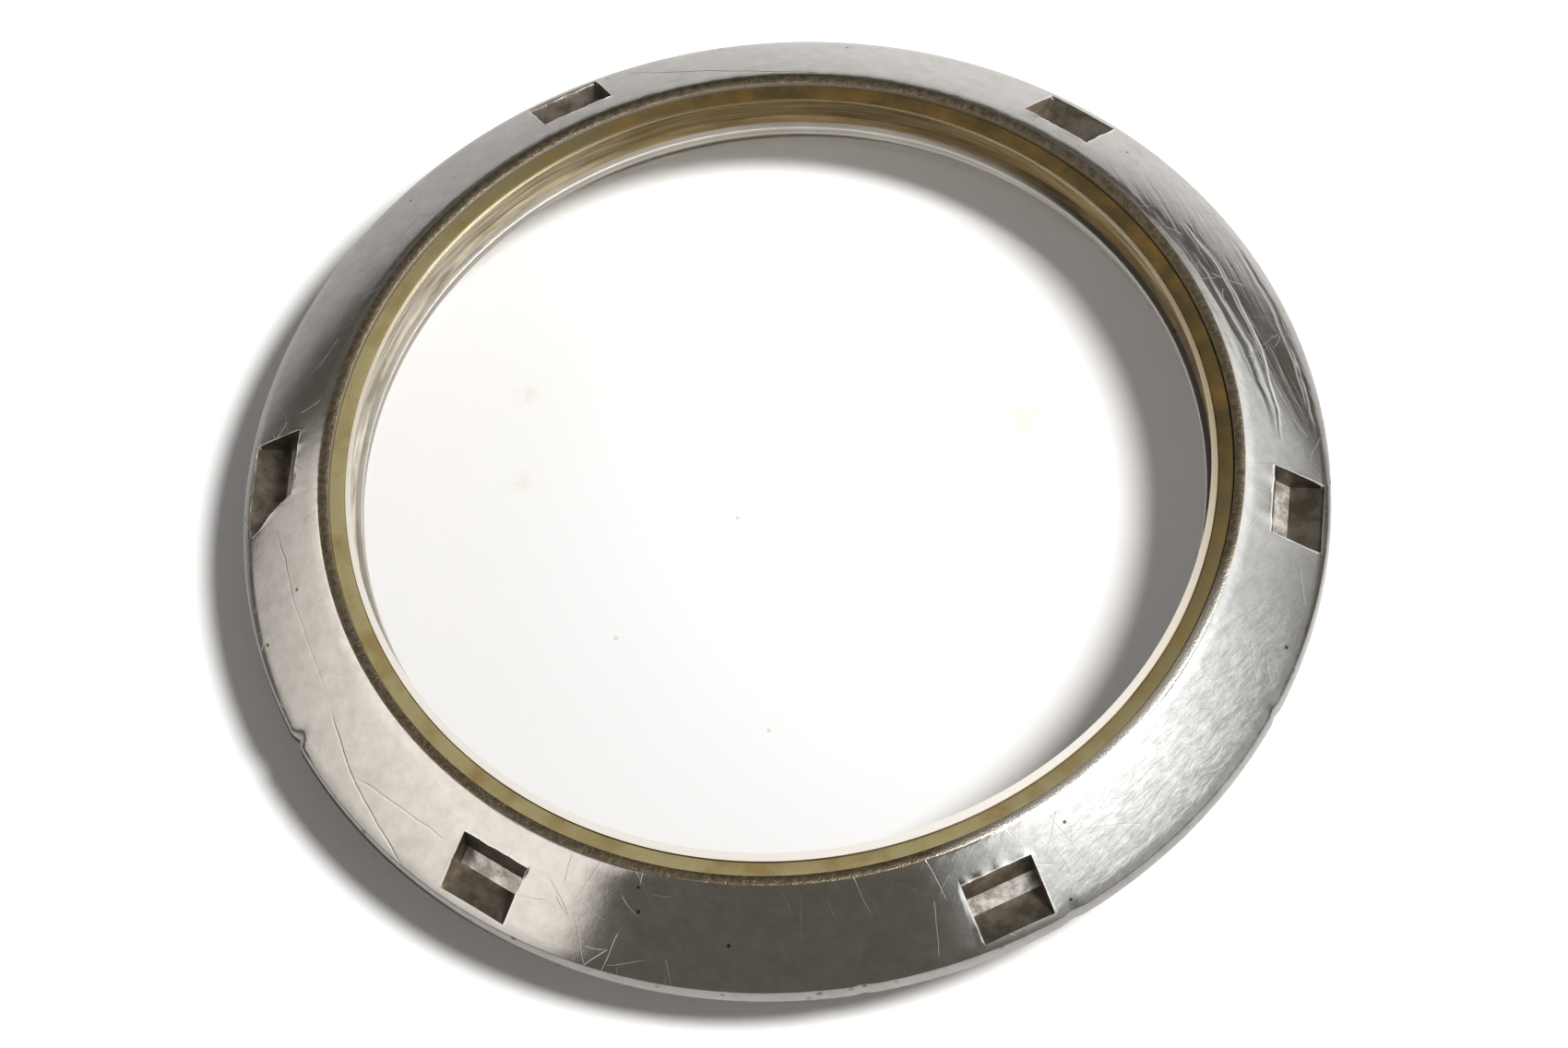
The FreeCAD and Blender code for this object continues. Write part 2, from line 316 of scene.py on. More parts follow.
def finishPiece(name, bm, materials, node, sharp=25):
    # edges that turn by more than sharp degrees are drawn as edges
    bmesh.ops.remove_doubles(bm, verts=bm.verts[:], dist=0.0005 * mm)
    bmesh.ops.recalc_face_normals(bm, faces=bm.faces[:])
    for face in bm.faces:
        face.smooth = True
    for edge in bm.edges:
        edge.smooth = len(edge.link_faces) == 2 and edge.calc_face_angle(0) < math.radians(sharp)
    mesh = bpy.data.meshes.new(name)
    bm.to_mesh(mesh)
    bm.free()
    for material in materials:
        mesh.materials.append(material)
    piece = addObject(name, mesh)
    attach(piece, "root")
    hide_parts(node)
    print("made", name, "with", len(mesh.polygons), "faces")
    return piece


def dimmed(tree, *parts):
    # the product of several greys
    product = parts[0]
    for part in parts[1:]:
        product = addNode(tree, "ShaderNodeMath", multiply, {0: product, 1: part}).outputs[0]
    return product


def bowedLine(tree, along, across, half, bow, width):
    # 1 on a bowed line of that half length, fading over its width and towards its ends
    squared = addNode(tree, "ShaderNodeMath", multiply, {0: along, 1: along})
    bent = addNode(tree, "ShaderNodeMath", multiplyAdd,
                   {0: squared.outputs[0], 1: bow / half ** 2, 2: across})
    aside = addNode(tree, "ShaderNodeMath", {"operation": "SUBTRACT"}, {0: bent.outputs[0], 1: bow})
    away = addNode(tree, "ShaderNodeMath", {"operation": "ABSOLUTE"}, {0: aside.outputs[0]})
    line = addNode(tree, "ShaderNodeMapRange", smooth,
                   {0: away.outputs[0], 1: 0.0, 2: width, 3: 1.0, 4: 0.0})
    ends = addNode(tree, "ShaderNodeMapRange", smooth,
                   {0: squared.outputs[0], 1: (0.6 * half) ** 2, 2: half ** 2, 3: 1.0, 4: 0.0})
    return dimmed(tree, line.outputs[0], ends.outputs[0])


def scuffs(tree, place, cell, length, width, bow, share, shift):
    # random marks, one to a cell and each turned its own way, in millimetres
    moved = addNode(tree, "ShaderNodeVectorMath", {"operation": "ADD"}, {0: place, 1: (shift, shift / 3, 0)})
    cells = addNode(tree, "ShaderNodeTexVoronoi", {"voronoi_dimensions": "2D"},
                    {"Vector": moved.outputs[0], "Scale": 1 / cell})
    offset = addNode(tree, "ShaderNodeVectorMath", {"operation": "SUBTRACT"},
                     {0: moved.outputs[0], 1: cells.outputs["Position"]})
    dice = addNode(tree, "ShaderNodeSeparateColor", inputs={0: cells.outputs["Color"]})
    angle = addNode(tree, "ShaderNodeMath", multiply, {0: dice.outputs[0], 1: 2 * math.pi})
    turned = addNode(tree, "ShaderNodeVectorRotate", {"rotation_type": "Z_AXIS"},
                     {"Vector": offset.outputs[0], "Angle": angle.outputs[0]})
    sides = addNode(tree, "ShaderNodeSeparateXYZ", inputs={0: turned.outputs[0]})
    mark = bowedLine(tree, sides.outputs[0], sides.outputs[1], length / 2, bow, width)
    kept = addNode(tree, "ShaderNodeMapRange", inputs={0: dice.outputs[1], 1: 1 - share, 2: 1.1 - share / 2})
    return dimmed(tree, mark, kept.outputs[0])


def gouge(tree, place, startX, startY, endX, endY, bow, width, depth):
    # one long mark between two points of the plan, in millimetres
    middle = ((startX + endX) / 2, (startY + endY) / 2, 0)
    angle = math.atan2(endY - startY, endX - startX)
    local = addNode(tree, "ShaderNodeMapping", {"vector_type": "TEXTURE"}, {
        0: place, 1: middle, 2: (0, 0, angle)})
    sides = addNode(tree, "ShaderNodeSeparateXYZ", inputs={0: local.outputs[0]})
    half = math.hypot(endX - startX, endY - startY) / 2
    return dimmed(tree, bowedLine(tree, sides.outputs[0], sides.outputs[1], half, bow, width), depth)


def deepest(tree, marks):
    # the strongest of several greys
    most = marks[0]
    for mark in marks[1:]:
        most = addNode(tree, "ShaderNodeMath", {"operation": "MAXIMUM"}, {0: most, 1: mark}).outputs[0]
    return most


steelWear = {
    # cell, length, width, bow, share, shift
    "hairlines": ((1.1, 0.9, 0.02, 0.06, 0.6, 3), (1.7, 1.8, 0.018, 0.06, 0.6, 11),
                  (2.3, 2.6, 0.02, 0.08, 0.55, 23), (1.4, 1.5, 0.018, 0.03, 0.6, 41)),
    "scratches": ((3.4, 3.0, 0.022, 0.06, 0.14, 5), (5.0, 4.6, 0.025, 0.1, 0.14, 17)),
    # start, end, bow, width, depth of the long marks, in plan
    "gouges": (
        (-16.5, -2.0, -14.0, -8.5, -0.1, 0.05, 0.3),
        (-14.0, -8.5, -11.0, -14.0, -0.3, 0.05, 0.7),
        (-13.0, -11.0, -9.5, -13.5, 0.0, 0.05, 0.6),
        (-15.0, -9.5, -11.5, -14.0, -0.2, 0.09, 0.5),
        (-7.5, 16.5, 0.5, 15.5, -0.2, 0.05, 0.8),
        (11.0, 11.5, 16.5, 2.0, 0.7, 0.2, 0.6),
        (12.5, 11.0, 16.5, 2.0, 0.7, 0.1, 0.8),
        (14.0, 11.0, 17.5, 3.0, 0.5, 0.12, 0.6),
        (11.5, 10.5, 15.0, 4.5, 0.4, 0.2, 0.6),
    ),
    # rubbed patches: middle, reach, turned, then length, width and depth of the streaks
    "rubbed": (((14.2, 8.6, 4.0), 7.0, -60, 9.0, 0.5, 5.0),
               ((12.5, -9.5, 4.0), 9.5, 52, 0.8, 0.26, 3.0)),
}


def rubbedPatch(tree, place, middle, reach, turned, length, width, depth):
    # streaks that all run one way, fading out from the middle of the patch
    laid = addNode(tree, "ShaderNodeMapping", {"vector_type": "TEXTURE"}, {
        0: place, 1: middle, 2: (0, 0, math.radians(turned)), 3: (length, width, 1)})
    streaks = addNode(tree, "ShaderNodeTexNoise", {"noise_dimensions": "2D"}, {
        "Vector": laid.outputs[0], "Scale": 1.0, "Detail": 3.0, "Roughness": 0.6})
    away = addNode(tree, "ShaderNodeVectorMath", {"operation": "DISTANCE"}, {0: place, 1: middle})
    near = addNode(tree, "ShaderNodeMapRange", smooth, {
        0: away.outputs["Value"], 1: 0.5 * reach, 2: reach, 3: depth, 4: 0.0})
    return dimmed(tree, streaks.outputs[0], near.outputs[0])


def pits(tree, place, swayed):
    # 1 in a pit: sparse on the slope, crowded on the rim, which knocks against things
    height = addNode(tree, "ShaderNodeSeparateXYZ", inputs={0: place})
    atRim = addNode(tree, "ShaderNodeMath", {"operation": "LESS_THAN"},
                    {0: height.outputs[2], 1: ring["rimLevel"] + 0.04})
    sparse = addNode(tree, "ShaderNodeTexVoronoi", inputs={"Vector": swayed, "Scale": 0.6})
    crowded = addNode(tree, "ShaderNodeTexVoronoi", inputs={"Vector": swayed, "Scale": 1.6})
    nearest = addNode(tree, "ShaderNodeMix", {"data_type": "FLOAT"}, {
        0: atRim.outputs[0], 2: sparse.outputs["Distance"], 3: crowded.outputs["Distance"]})
    reach = addNode(tree, "ShaderNodeMath", multiplyAdd, {0: atRim.outputs[0], 1: 0.18, 2: 0.05})
    return addNode(tree, "ShaderNodeMapRange", inputs={
        0: nearest.outputs[0], 1: 0.03, 2: reach.outputs[0], 3: 1.0, 4: 0.0}).outputs[0]


def polishedSteel():
    # stainless steel polished to a mirror, then handled for years: sharp reflections broken by
    # hairlines at all angles, long gouges, faint cloudy stains and a few dark pits
    material, tree = newMaterial("polished stainless steel")
    place = inMillimetres(tree)
    sway = addNode(tree, "ShaderNodeTexNoise", inputs={"Vector": place, "Scale": 0.5, "Detail": 2.0})
    swayed = addNode(tree, "ShaderNodeVectorMath", multiplyAdd,
                     {0: sway.outputs["Color"], 1: (0.3, 0.3, 0), 2: place}).outputs[0]
    fine = deepest(tree, [scuffs(tree, swayed, *numbers) for numbers in steelWear["hairlines"]])
    deep = deepest(tree, [scuffs(tree, swayed, *numbers) for numbers in steelWear["scratches"]])
    long = deepest(tree, [gouge(tree, swayed, *numbers) for numbers in steelWear["gouges"]])
    haze = addNode(tree, "ShaderNodeTexNoise", inputs={
        "Vector": place, "Scale": 0.45, "Detail": 6.0, "Roughness": 0.65})
    stain = addNode(tree, "ShaderNodeTexNoise", inputs={
        "Vector": place, "Scale": 1.6, "Detail": 5.0, "Roughness": 0.7})
    hazed = addNode(tree, "ShaderNodeMapRange", inputs={
        0: haze.outputs[0], 1: 0.35, 2: 0.7, 3: 0.07, 4: 0.16})
    rough = addNode(tree, "ShaderNodeMath", multiplyAdd, {0: fine, 1: 0.16, 2: hazed.outputs[0]})
    scored = addNode(tree, "ShaderNodeMath", {"operation": "MAXIMUM"}, {0: deep, 1: long})
    rougher = addNode(tree, "ShaderNodeMath", {"operation": "MULTIPLY_ADD", "use_clamp": True},
                      {0: scored.outputs[0], 1: 0.08, 2: rough.outputs[0]})
    # heights, as multiples of the bump's distance
    softened = addNode(tree, "ShaderNodeMath", multiply, {0: fine, 1: 0.6})
    cuts = addNode(tree, "ShaderNodeMath", multiplyAdd, {0: deep, 1: 0.45, 2: softened.outputs[0]})
    gouged = addNode(tree, "ShaderNodeMath", multiplyAdd, {0: long, 1: 4.0, 2: cuts.outputs[0]})
    waves = addNode(tree, "ShaderNodeMath", multiplyAdd,
                    {0: stain.outputs[0], 1: 0.8, 2: haze.outputs[0]})
    for numbers in steelWear["rubbed"]:
        patch = rubbedPatch(tree, swayed, *numbers)
        waves = addNode(tree, "ShaderNodeMath", {"operation": "ADD"}, {0: patch, 1: waves.outputs[0]})
    ground = addNode(tree, "ShaderNodeMath", {"operation": "SUBTRACT"},
                     {0: waves.outputs[0], 1: gouged.outputs[0]})
    bump = addNode(tree, "ShaderNodeBump", inputs={
        "Strength": 0.5, "Distance": 0.006 * mm, "Height": ground.outputs[0]})
    clouded = addNode(tree, "ShaderNodeMapRange", inputs={0: stain.outputs[0], 1: 0.35, 2: 0.68})
    tone = addNode(tree, "ShaderNodeMix", colourMix, {0: clouded.outputs[0], 6: "#d6d3cf", 7: "#c5c1bb"})
    # the last rubbed patch has a bluish tarnish in its low places
    tarnished = addNode(tree, "ShaderNodeMix", colourMix, {
        0: dimmed(tree, patch, clouded.outputs[0], 0.2), 6: tone.outputs[2], 7: "#a3aaa8"})
    marked = addNode(tree, "ShaderNodeMix", colourMix, {
        0: pits(tree, place, swayed), 6: tarnished.outputs[2], 7: "#5f564b"})
    # the lips of the notches are rubbed, and a broken white line is painted on and beside them: a painted
    # highlight
    lips = addNode(tree, "ShaderNodeAttribute", {"attribute_name": "worn"})
    beside = addNode(tree, "ShaderNodeMapRange", inputs={0: lips.outputs["Fac"], 1: 0.35, 2: 0.8})
    glints = addNode(tree, "ShaderNodeMapRange", inputs={
        0: stain.outputs[0], 1: 0.3, 2: 0.55, 3: 0.3, 4: 1.0})
    lipHighlight = dimmed(tree, beside.outputs[0], glints.outputs[0])
    edged = addNode(tree, "ShaderNodeMix", colourMix, {0: lipHighlight, 6: marked.outputs[2], 7: "#fbfaf6"})
    metal = addNode(tree, "ShaderNodeMath", multiplyAdd, {0: lipHighlight, 1: -0.7, 2: 1.0})
    steel = addNode(tree, "ShaderNodeBsdfPrincipled", inputs={
        "Base Color": edged.outputs[2], "Metallic": metal.outputs[0], "Roughness": rougher.outputs[0],
        "Normal": bump.outputs[0]})
    addNode(tree, "ShaderNodeOutputMaterial", inputs={0: steel.outputs[0]})
    return material


def rampTowards(tree, place, azimuth, start, full):
    # rises from 0 to 1 between two distances from the axis, in millimetres, in one direction
    across = addNode(tree, "ShaderNodeVectorMath", dotProduct, {0: place, 1: direction(azimuth, 0)})
    return addNode(tree, "ShaderNodeMapRange", inputs={
        0: across.outputs["Value"], 1: start, 2: full}).outputs[0]


def dulledSteel(name, clean, dirty, roughness, grit, relief, metallic=1.0, paintedHighlight=None):
    # cut steel that was never polished: a soft broad sheen, with grime in the low places and
    # tiny burrs that catch the light; grit is the grain's size in millimetres, and the last
    # argument, if given, is the side painted near-white as a painted highlight
    material, tree = newMaterial(name)
    place = inMillimetres(tree)
    grime = addNode(tree, "ShaderNodeTexNoise", inputs={
        "Vector": place, "Scale": 0.25 / grit, "Detail": 4.0, "Roughness": 0.6})
    burrs = addNode(tree, "ShaderNodeTexNoise", inputs={"Vector": place, "Scale": 1 / grit, "Detail": 2.0})
    spread = addNode(tree, "ShaderNodeMapRange", inputs={0: grime.outputs[0], 1: 0.4, 2: 0.62})
    tone = addNode(tree, "ShaderNodeMix", colourMix, {0: spread.outputs[0], 6: dirty, 7: clean})
    # painted highlight: near-white towards one side, where the land catches the lamp
    if paintedHighlight:
        tone = addNode(tree, "ShaderNodeMix", colourMix, {
            0: rampTowards(tree, place, *paintedHighlight), 6: tone.outputs[2], 7: "#fffaf0"})
    bump = addNode(tree, "ShaderNodeBump", inputs={
        "Strength": relief, "Distance": 0.03 * mm, "Height": burrs.outputs[0]})
    steel = addNode(tree, "ShaderNodeBsdfPrincipled", inputs={
        "Base Color": tone.outputs[2], "Metallic": metallic, "Roughness": roughness,
        "Normal": bump.outputs[0]})
    addNode(tree, "ShaderNodeOutputMaterial", inputs={0: steel.outputs[0]})
    return material


def turnedSteel():
    # stainless steel as it left the lathe: a satin sheen over fine rings round the axis, which
    # are 0.06 mm apart on a real one and twice that here, to show
    material, tree = newMaterial("turned stainless steel")
    place = inMillimetres(tree)
    level = addNode(tree, "ShaderNodeVectorMath", multiply, {0: place, 1: (1, 1, 0)})
    radius = addNode(tree, "ShaderNodeVectorMath", {"operation": "LENGTH"}, {0: level.outputs[0]})
    height = addNode(tree, "ShaderNodeSeparateXYZ", inputs={0: place})
    section = addNode(tree, "ShaderNodeCombineXYZ", inputs={0: radius.outputs["Value"], 1: height.outputs[2]})
    rings = addNode(tree, "ShaderNodeTexNoise", {"noise_dimensions": "2D"}, {
        "Vector": section.outputs[0], "Scale": 8.0, "Detail": 2.0})
    film = addNode(tree, "ShaderNodeTexNoise", inputs={"Vector": place, "Scale": 0.4, "Detail": 4.0})
    varied = addNode(tree, "ShaderNodeMath", multiplyAdd,
                     {0: film.outputs[0], 1: 0.7, 2: rings.outputs[0]})
    spread = addNode(tree, "ShaderNodeMapRange", inputs={0: varied.outputs[0], 1: 0.65, 2: 1.05})
    tone = addNode(tree, "ShaderNodeMix", colourMix, {0: spread.outputs[0], 6: "#a8a297", 7: "#cac5bb"})
    bump = addNode(tree, "ShaderNodeBump", inputs={
        "Strength": 0.35, "Distance": 0.012 * mm, "Height": rings.outputs[0]})
    steel = addNode(tree, "ShaderNodeBsdfPrincipled", inputs={
        "Base Color": tone.outputs[2], "Metallic": 0.45, "Roughness": 0.32, "Normal": bump.outputs[0]})
    addNode(tree, "ShaderNodeOutputMaterial", inputs={0: steel.outputs[0]})
    return material


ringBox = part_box("case_back_ring")
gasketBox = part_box("crystal_gasket")
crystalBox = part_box("crystal")
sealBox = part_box("case_seal_ring")
fitGap = 0.01            # between neighbours that touch

ring = {
    "outerRadius": ringBox[1][0] / mm,
    "landLevel": ringBox[1][2] / mm,
    "seatRadius": gasketBox[1][0] / mm + fitGap,
    "ledgeLevel": gasketBox[0][2] / mm,
    "flangeLevel": sealBox[1][2] / mm + fitGap,
    "grooveRadius": 16.1,      # where the rubber ring sits
    "neckBoreRadius": 15.5,
    "ledgeThickness": 0.4,
    "landWidth": 0.35,
    "ledgeWidth": 1.0,
    "rimHeight": 0.6,
    "bevelCrown": 0.05,
    "crownSteps": 8,
    "neckRadius": 16.5,
    "neckChamfer": 0.35,
    "threadTop": 1.6,
    "threadPitch": 0.5,
    "threadDepth": 0.27,
    "threadRows": 20,    # faces up the thread
    "columns": 120,      # faces along a sixth of the ring
    "notches": 6,
    "landEdge": 0.09,    # rounding of the land's outer edge
    "landWear": 0.012,   # how far the land's outer edge strays
    "lipSeed": 4,        # of the notch lips' wear
    "polished": 0,       # material slots
    "milled": 1,
    "foot": 2,
    "land": 3,
    "turned": 4,
    "lip": 5,
}
ring["landRadius"] = ring["seatRadius"] + ring["landWidth"]
ring["boreRadius"] = ring["seatRadius"] - ring["ledgeWidth"]
ring["rimLevel"] = ring["flangeLevel"] + ring["rimHeight"]
ring["ledgeUnder"] = ring["ledgeLevel"] - ring["ledgeThickness"]

notch = {
    "width": 2.5,
    "length": 1.6,
    "margin": 0.25,      # from the rim
    "lift": 0.07,        # of its floor above the rim's upper edge
    "footRise": 0.4,
    "footRun": 0.45,
    "edge": 0.08,        # rounding of its lips
    "shortest": 0.03,    # shorter edges of its outline are joined
    "wornReach": 0.1,    # width of the white line beside the lips
}
notch["outer"] = ring["outerRadius"] - notch["margin"]
notch["inner"] = notch["outer"] - notch["length"]
notch["floor"] = ring["rimLevel"] + notch["lift"]
notch["foot"] = notch["floor"] + notch["footRise"]


def bevelCurve():
    # the sloping face, from the rim up to the land, bulging a little past a straight cone
    low = Vector((ring["outerRadius"], ring["rimLevel"]))
    high = Vector((ring["landRadius"], ring["landLevel"]))
    along = high - low
    outward = Vector((along.y, -along.x)).normalized()
    points = []
    for step in range(ring["crownSteps"] + 1):
        share = step / ring["crownSteps"]
        points.append(tuple(low + along * share + outward * 4 * ring["bevelCrown"] * share * (1 - share)))
    return points


def ringSection():
    low = ring["neckChamfer"]
    rise = (ring["threadTop"] - low) / ring["threadRows"]
    thread = [(ring["neckRadius"], low + rise * row) for row in range(ring["threadRows"] + 1)]
    return [
        (ring["neckBoreRadius"], 0),
        (ring["neckRadius"] - ring["neckChamfer"], 0),
        *thread,
        (ring["grooveRadius"], ring["threadTop"]),
        (ring["grooveRadius"], ring["flangeLevel"]),
        (ring["outerRadius"], ring["flangeLevel"]),
        *bevelCurve(),
        (ring["seatRadius"], ring["landLevel"]),
        (ring["seatRadius"], ring["ledgeLevel"]),
        (ring["boreRadius"], ring["ledgeLevel"]),
        (ring["boreRadius"], ring["ledgeUnder"]),
        (ring["neckBoreRadius"], ring["ledgeUnder"]),
    ]


def roundRing(bm):
    # broken edges: radius, height, width
    for radius, height, width in (
        (ring["outerRadius"], ring["rimLevel"], 0.08),
        (ring["outerRadius"], ring["flangeLevel"], 0.08),
        (ring["landRadius"], ring["landLevel"], ring["landEdge"]),
        (ring["seatRadius"], ring["landLevel"], 0.03),
        (ring["boreRadius"], ring["ledgeLevel"], 0.05),
        (ring["boreRadius"], ring["ledgeUnder"], 0.05),
        (ring["neckBoreRadius"], 0, 0.1),
        (ring["neckBoreRadius"], ring["ledgeUnder"], 0.12),
        (ring["grooveRadius"], ring["flangeLevel"], 0.08),
        (ring["grooveRadius"], ring["threadTop"], 0.08),
    ):
        roundEdges(bm, circleEdges(bm, radius, height), width)


def markFaces(bm):
    # dull land on top; turned steel inside the seat, under the flange and on the neck
    for face in bm.faces:
        centre = face.calc_center_median() / mm
        if centre.z > ring["landLevel"] - 0.01 and centre.xy.length > ring["seatRadius"]:
            face.material_index = ring["land"]
        elif centre.xy.length < ring["seatRadius"] + 0.005 or centre.z < ring["flangeLevel"] + 0.005:
            face.material_index = ring["turned"]


def nearNotch(face, reach):
    centre = face.calc_center_median() / mm
    radius = centre.xy.length
    onBevel = ring["landRadius"] + 0.06 < radius < ring["outerRadius"] - 0.06
    return onBevel and centre.z > ring["rimLevel"] and abs(centre.y) < reach


def cutNotch(bm):
    # one pocket through the sloping face, centred on the X axis
    half = notch["width"] / 2
    for place, normal, reach in (
        ((0, half, 0), (0, 1, 0), notch["width"]),
        ((0, -half, 0), (0, 1, 0), notch["width"]),
        ((notch["inner"], 0, 0), (1, 0, 0), half),
        ((notch["outer"], 0, 0), (1, 0, 0), half),
    ):
        faces = [face for face in bm.faces if nearNotch(face, reach)]
        edges = {edge for face in faces for edge in face.edges}
        verts = {vert for face in faces for vert in face.verts}
        bmesh.ops.bisect_plane(bm, geom=faces + list(edges) + list(verts), dist=0.002 * mm,
                               plane_co=Vector(place) * mm, plane_no=normal)
    inside = []
    for face in bm.faces:
        centre = face.calc_center_median() / mm
        if nearNotch(face, half) and notch["inner"] < centre.x < notch["outer"]:
            inside.append(face)
    outline = [edge for face in inside for edge in face.edges
               if sum(other in inside for other in edge.link_faces) == 1]
    bmesh.ops.delete(bm, geom=inside, context="FACES")
    # short edges would spoil the rounding of the notch's upper edge; a fixed order gives the
    # same mesh each time
    corners = sorted({vert for edge in outline for vert in edge.verts}, key=lambda vert: vert.co[:])
    bmesh.ops.remove_doubles(bm, verts=corners, dist=notch["shortest"] * mm)
    outline = [edge for edge in bm.edges if edge.is_boundary and all(
        ring["rimLevel"] * mm < vert.co.z and vert.co.x > (notch["inner"] - 0.1) * mm
        and abs(vert.co.y) < (half + 0.05) * mm for vert in edge.verts)]
    sunk = bmesh.ops.extrude_edge_only(bm, edges=outline)["geom"]
    walls = [part for part in sunk if isinstance(part, bmesh.types.BMFace)]
    lowEdges = [part for part in sunk if isinstance(part, bmesh.types.BMEdge)
                and all(vert in sunk for vert in part.verts)]
    for vert in [part for part in sunk if isinstance(part, bmesh.types.BMVert)]:
        vert.co.z = notch["floor"] * mm
    floorFaces = bmesh.ops.contextual_create(bm, geom=lowEdges)["faces"]
    pocket = walls + list(floorFaces)
    # the foot of the inner wall slopes out over the floor
    edges = {edge for face in pocket for edge in face.edges}
    verts = {vert for face in pocket for vert in face.verts}
    cut = bmesh.ops.bisect_plane(
        bm, geom=pocket + list(edges) + list(verts), dist=0.001 * mm, clear_outer=True,
        plane_co=Vector((notch["inner"], 0, notch["foot"])) * mm,
        plane_no=(-notch["footRise"], 0, -notch["footRun"]))["geom_cut"]
    cutEdges = [part for part in cut if isinstance(part, bmesh.types.BMEdge)]
    bmesh.ops.contextual_create(bm, geom=cutEdges)
    pocket = []
    for face in bm.faces:
        centre = face.calc_center_median() / mm
        inPlan = abs(centre.y) < half + 0.01 and notch["inner"] - 0.01 < centre.x < notch["outer"] + 0.01
        steep = face.normal.z < 0.5 or centre.z < notch["foot"] + 0.01
        if inPlan and notch["floor"] - 0.01 < centre.z and steep and not nearSlope(centre):
            sloping = face.normal.x > 0.5 and 0.1 < face.normal.z < 0.9
            face.material_index = ring["foot"] if sloping else ring["milled"]
            pocket.append(face)
    rimEdges = {edge for face in pocket for edge in face.edges
                if len(edge.link_faces) == 2 and any(other not in pocket for other in edge.link_faces)}
    # the lips are burnished, and painted near-white as a painted highlight
    for face in roundEdges(bm, list(rimEdges), notch["edge"])["faces"]:
        face.material_index = ring["lip"]


def nearSlope(centre):
    # True where a point lies on the sloping face
    along = (ring["outerRadius"] - centre.xy.length) / (ring["outerRadius"] - ring["landRadius"])
    height = ring["rimLevel"] + along * (ring["landLevel"] - ring["rimLevel"])
    return abs(centre.z - height) < 0.08


def cutThread(bm):
    # the crests stay on the neck's radius; the flanks and roots are pulled in along a helix
    low, high = ring["neckChamfer"], ring["threadTop"]
    for vert in bm.verts:
        place = vert.co / mm
        radius = place.xy.length
        if abs(radius - ring["neckRadius"]) > 0.003 or not low - 0.01 < place.z < high - 0.01:
            continue
        turn = math.atan2(place.y, place.x) / (2 * math.pi)
        phase = (place.z / ring["threadPitch"] - turn) % 1
        depth = min(1, max(0, 2.6 * abs(phase - 0.5) - 0.15)) * ring["threadDepth"]
        vert.co.xy *= (radius - depth) / radius


def smoothStep(value, low, high):
    share = min(1, max(0, (value - low) / (high - low)))
    return share * share * (3 - 2 * share)


brokenLip = {
    "azimuth": 180,      # the notch whose outer corner has broken away
    "push": 1.0,         # mm round the ring, at the rim
    "inner": 16.3,       # the break starts at this radius
    "spread": 2.2,       # mm of bevel that gives way
    "before": 1.2,       # mm of the lip that bends into the break
}


def breakLip(bm):
    # turns the corner of one notch further round, keeping it on the sloping face
    half = notch["width"] / 2
    for vert in bm.verts:
        place = vert.co / mm
        radius = place.xy.length
        aside = (math.degrees(math.atan2(place.y, place.x)) - brokenLip["azimuth"]) % 360
        arc = math.radians(aside if aside < 180 else aside - 360) * radius
        start = half - brokenLip["before"]
        if place.z < notch["floor"] - 0.01 or not start < arc < half + brokenLip["spread"]:
            continue
        share = smoothStep(arc, start, half) if arc < half else 1 - (arc - half) / brokenLip["spread"]
        push = brokenLip["push"] * share * smoothStep(radius, brokenLip["inner"], notch["outer"])
        vert.co.rotate(Matrix.Rotation(push / radius, 3, "Z"))


nicks = (
    # x, y, reach and depth in mm of the dents in the rim
    (-15.3, -9.5, 0.35, 0.16),
    (4.0, -17.6, 0.3, 0.06),
    (10.5, -14.6, 0.4, 0.07),
    (16.6, -7.0, 0.3, 0.06),
)


def wearEdges(bm):
    # burrs along the notches' lips and the land, and nicks in the rim; noise_vector draws its
    # own offsets, so it is seeded
    noise.seed_set(ring["lipSeed"])
    for vert in bm.verts:
        place = vert.co / mm
        radius = place.xy.length
        used = {face.material_index for face in vert.link_faces}
        lip = ring["polished"] in used and ring["lip"] in used
        shoulder = used == {ring["polished"], ring["land"]}
        if lip:
            stray = noise.noise_vector(place * 2.5) * 0.035 + noise.noise_vector(place * 7) * 0.015
            vert.co += stray * mm
        elif shoulder:
            vert.co.z += noise.noise(place * 6) * ring["landWear"] * mm
        if radius > ring["outerRadius"] - 0.3:
            for x, y, reach, depth in nicks:
                away = math.hypot(place.x - x, place.y - y)
                if away < reach:
                    vert.co.xy *= 1 - depth * (1 - away / reach) / radius


def markLips(bm):
    # 1 along the notches' lips, gone again a little way from them
    # the worn attribute carries the mask of the painted highlight along the lips
    worn = bm.verts.layers.float.new("worn")
    for vert in bm.verts:
        vert[worn] = any(face.material_index == ring["lip"] for face in vert.link_faces)
    added = set()
    for edge in bm.edges[:]:
        ends = [vert[worn] for vert in edge.verts]
        if sum(ends) == 1 and edge.calc_length() > 2 * notch["wornReach"] * mm:
            share = notch["wornReach"] * mm / edge.calc_length()
            beyond = bmesh.utils.edge_split(edge, edge.verts[ends.index(1)], share)[1]
            beyond[worn] = 0
            added.add(beyond)
    bmesh.ops.triangulate(bm, faces=[face for face in bm.faces if added.intersection(face.verts)],
                          quad_method="BEAUTY", ngon_method="BEAUTY")


